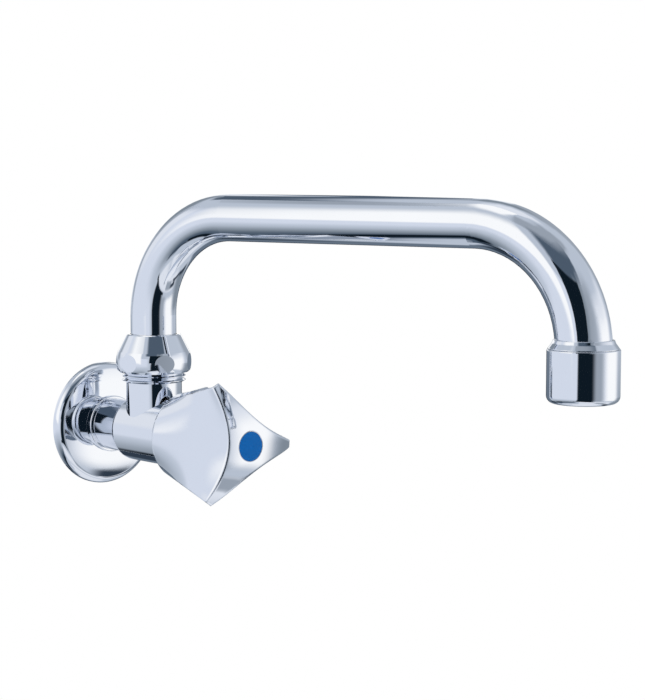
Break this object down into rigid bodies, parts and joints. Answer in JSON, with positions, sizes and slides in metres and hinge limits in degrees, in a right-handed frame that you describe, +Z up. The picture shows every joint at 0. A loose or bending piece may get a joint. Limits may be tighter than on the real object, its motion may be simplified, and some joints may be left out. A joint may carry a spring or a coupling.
{
  "type": "wall faucet",
  "caption": "Wall faucet with one cold valve, a three-pointed handle, a wall flange, and a swivelling bent-tube spout that ends in an aerator.",
  "frame": {"origin": "on the axis of the threaded inlet, in the plane of the wall that the flange's back touches", "axes": "+Z up, the faucet stands out of the wall along -Y, +Y points into the wall, +X to the right for someone facing the wall"},
  "size_m": [0.0824, 0.2596, 0.1253],
  "materials": {
    "body_chrome": "polished chrome plate on cast brass",
    "flange_chrome": "polished chrome plate on pressed brass",
    "nut_chrome": "polished chrome plate on turned brass",
    "spout_chrome": "polished chrome plate on bent brass tube",
    "outlet_chrome": "polished chrome plate on turned brass",
    "handle_chrome": "polished chrome plate on cast zinc",
    "foam": "closed-cell foam",
    "acetal": "smooth white acetal",
    "brass": "machined, unplated",
    "fibre": "pressed fibre",
    "seal_rubber": "moulded",
    "spring_steel": "bright spring steel",
    "screw_steel": "bright stainless steel",
    "screen_steel": "fine woven stainless mesh",
    "aerator_plastic": "moulded acetal, pale grey",
    "index_blue": "glossy blue plastic"
  },
  "bodies": {
    "root": {"valve_body": "body_chrome", "wall_flange": "flange_chrome", "flange_gasket": "foam", "union_nut": "nut_chrome", "slide_washer": "acetal", "bearing_ring": "acetal", "headwork_bonnet": "brass", "bonnet_seal": "fibre"},
    "handle": {"handle_shell": "handle_chrome", "handle_bush": "acetal", "handle_screw": "screw_steel", "index_disc": "index_blue", "spindle": "brass", "spindle_o_rings": "seal_rubber", "thrust_washer": "acetal", "spindle_circlip": "spring_steel"},
    "plunger": {"valve_plunger": "brass", "seat_washer": "seal_rubber", "washer_screw": "screw_steel"},
    "spout": {"spout_spigot": "brass", "spigot_o_rings": "seal_rubber", "spout_tube": "spout_chrome", "outlet_ferrule": "spout_chrome", "aerator_housing": "outlet_chrome", "aerator_gasket": "seal_rubber", "aerator_core": "aerator_plastic", "mesh_screens": "screen_steel", "stream_straightener": "aerator_plastic"}
  },
  "joints": [
    {"name": "handle_turn", "type": "hinge", "parent": "root", "child": "handle", "pos_m": [0, -0.058, 0], "axis": [0, -1, 0], "range_deg": [0, 900]},
    {"name": "plunger_slide", "type": "slide", "parent": "root", "child": "plunger", "axis": [0, -1, 0], "range_m": [0, 0.00375]},
    {"name": "spout_swivel", "type": "hinge", "parent": "root", "child": "spout", "pos_m": [0, -0.036, 0.034], "axis": [0, 0, 1], "range_deg": [-107.4, 82.6]}
  ],
  "couplings": [
    {"joint": "plunger_slide", "follows": "handle_turn", "m_per_rad": 0.0002387}
  ]
}
